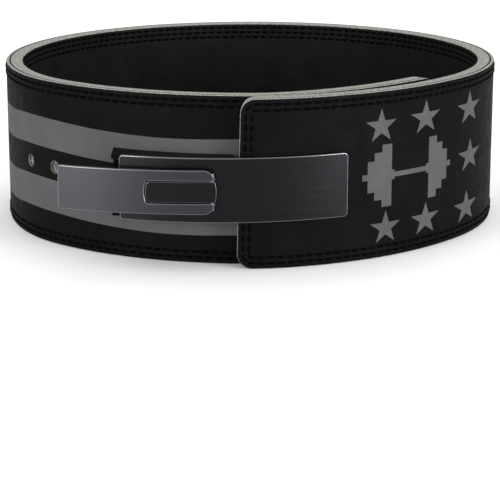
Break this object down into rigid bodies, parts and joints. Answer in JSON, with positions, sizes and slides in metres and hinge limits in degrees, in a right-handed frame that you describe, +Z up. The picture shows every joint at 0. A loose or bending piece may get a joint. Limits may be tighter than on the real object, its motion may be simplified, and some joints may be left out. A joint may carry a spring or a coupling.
{
  "type": "weightlifting belt with a lever buckle",
  "caption": "Wide thick leather lifting belt, lapped into a standing ring and fastened at the front by a steel lever buckle with a forked handle.",
  "frame": {"origin": "under the middle of the whole belt, on the surface that its lower rim stands on", "axes": "+Z up along the waist's axis, -Y out through the buckle at the front, +X to the right as seen from the front"},
  "size_m": [0.3194, 0.3338, 0.1016],
  "materials": {
    "raw_leather": "raw grey cut edge, dyed black on the inside",
    "black_leather": "matt black with a printed grey pattern and black stitches",
    "black_metal": "semi-gloss black",
    "gunmetal": "satin gunmetal",
    "lever_metal": "satin grey",
    "screw_metal": "bright zinc"
  },
  "bodies": {
    "belt": {"strap_core": "raw_leather", "strap_facing": "black_leather", "buckle_base": "black_metal", "hook_plate": "gunmetal", "base_pin": "black_metal", "backing_plate": "black_metal", "base_screw_1": "screw_metal", "base_screw_2": "screw_metal"},
    "lever": {"lever": "lever_metal", "lever_pin": "screw_metal"}
  },
  "joints": [
    {"name": "lever_hinge", "type": "hinge", "parent": "belt", "child": "lever", "pos_m": [-0.02243, -0.16444, 0.0485], "axis": [0, 0, 1], "range_deg": [0, 160]}
  ]
}
